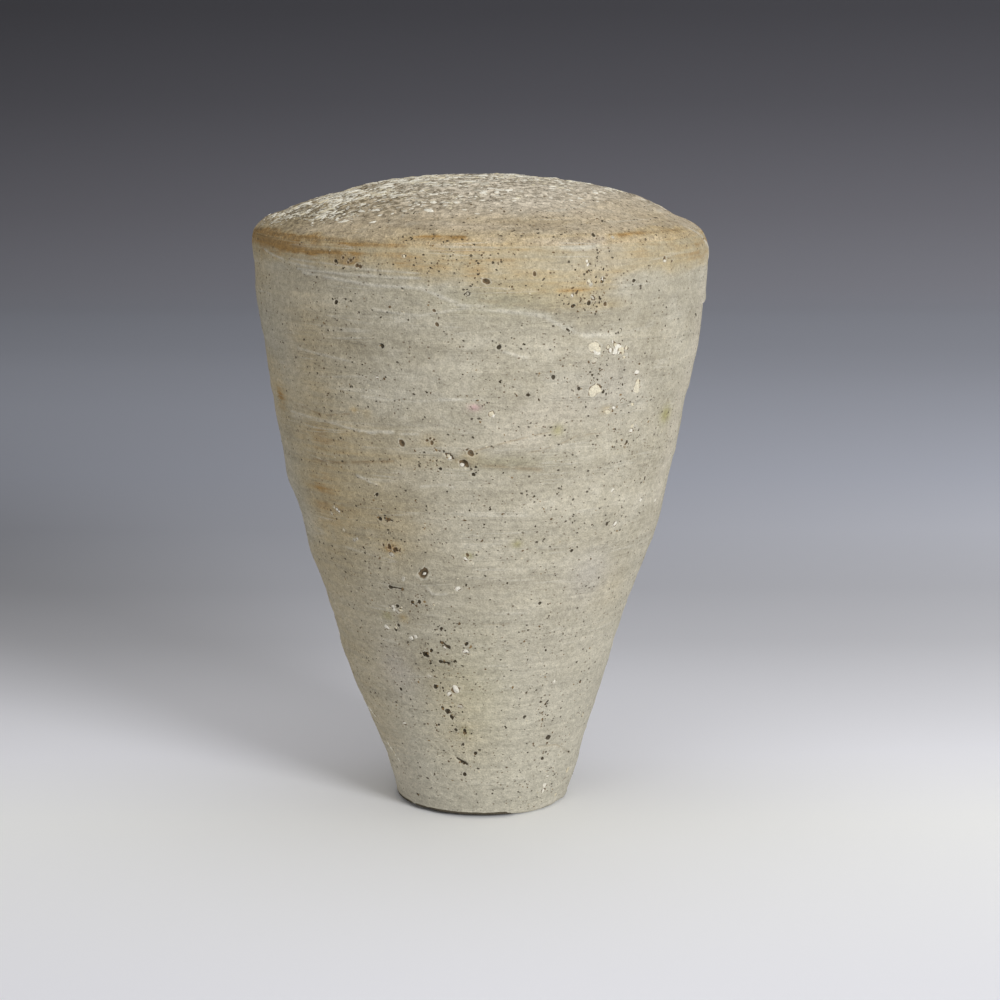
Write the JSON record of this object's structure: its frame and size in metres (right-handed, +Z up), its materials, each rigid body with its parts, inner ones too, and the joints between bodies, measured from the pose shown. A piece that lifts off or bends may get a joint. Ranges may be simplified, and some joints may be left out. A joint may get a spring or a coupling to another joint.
{
  "type": "sphero-conical vessel",
  "caption": "Thick-walled unglazed ceramic vessel on a small flat foot: a conical wall in luted sections, closed by a shallow dome with a small mouth at its crown.",
  "frame": {"origin": "centre of the underside of the foot", "axes": "+Z up along the vessel's axis, through the mouth; -Y towards the front that the picture shows"},
  "size_m": [0.14, 0.14, 0.1962],
  "materials": {
    "wall_clay": "matte, unglazed, grey-beige with dark specks and white lime grains",
    "dome_clay": "matte, gritty, pinkish buff with pale lime flecks",
    "band_clay": "matte, wiped smooth, stained orange-brown",
    "joint_slip": "matte, dull brown-grey"
  },
  "bodies": {
    "root": {"base_disc": "wall_clay", "base_slip": "joint_slip", "lower_wall": "wall_clay", "wall_slip": "joint_slip", "upper_wall": "wall_clay", "shoulder_slip": "joint_slip", "shoulder_band": "band_clay", "dome": "dome_clay"}
  },
  "joints": []
}
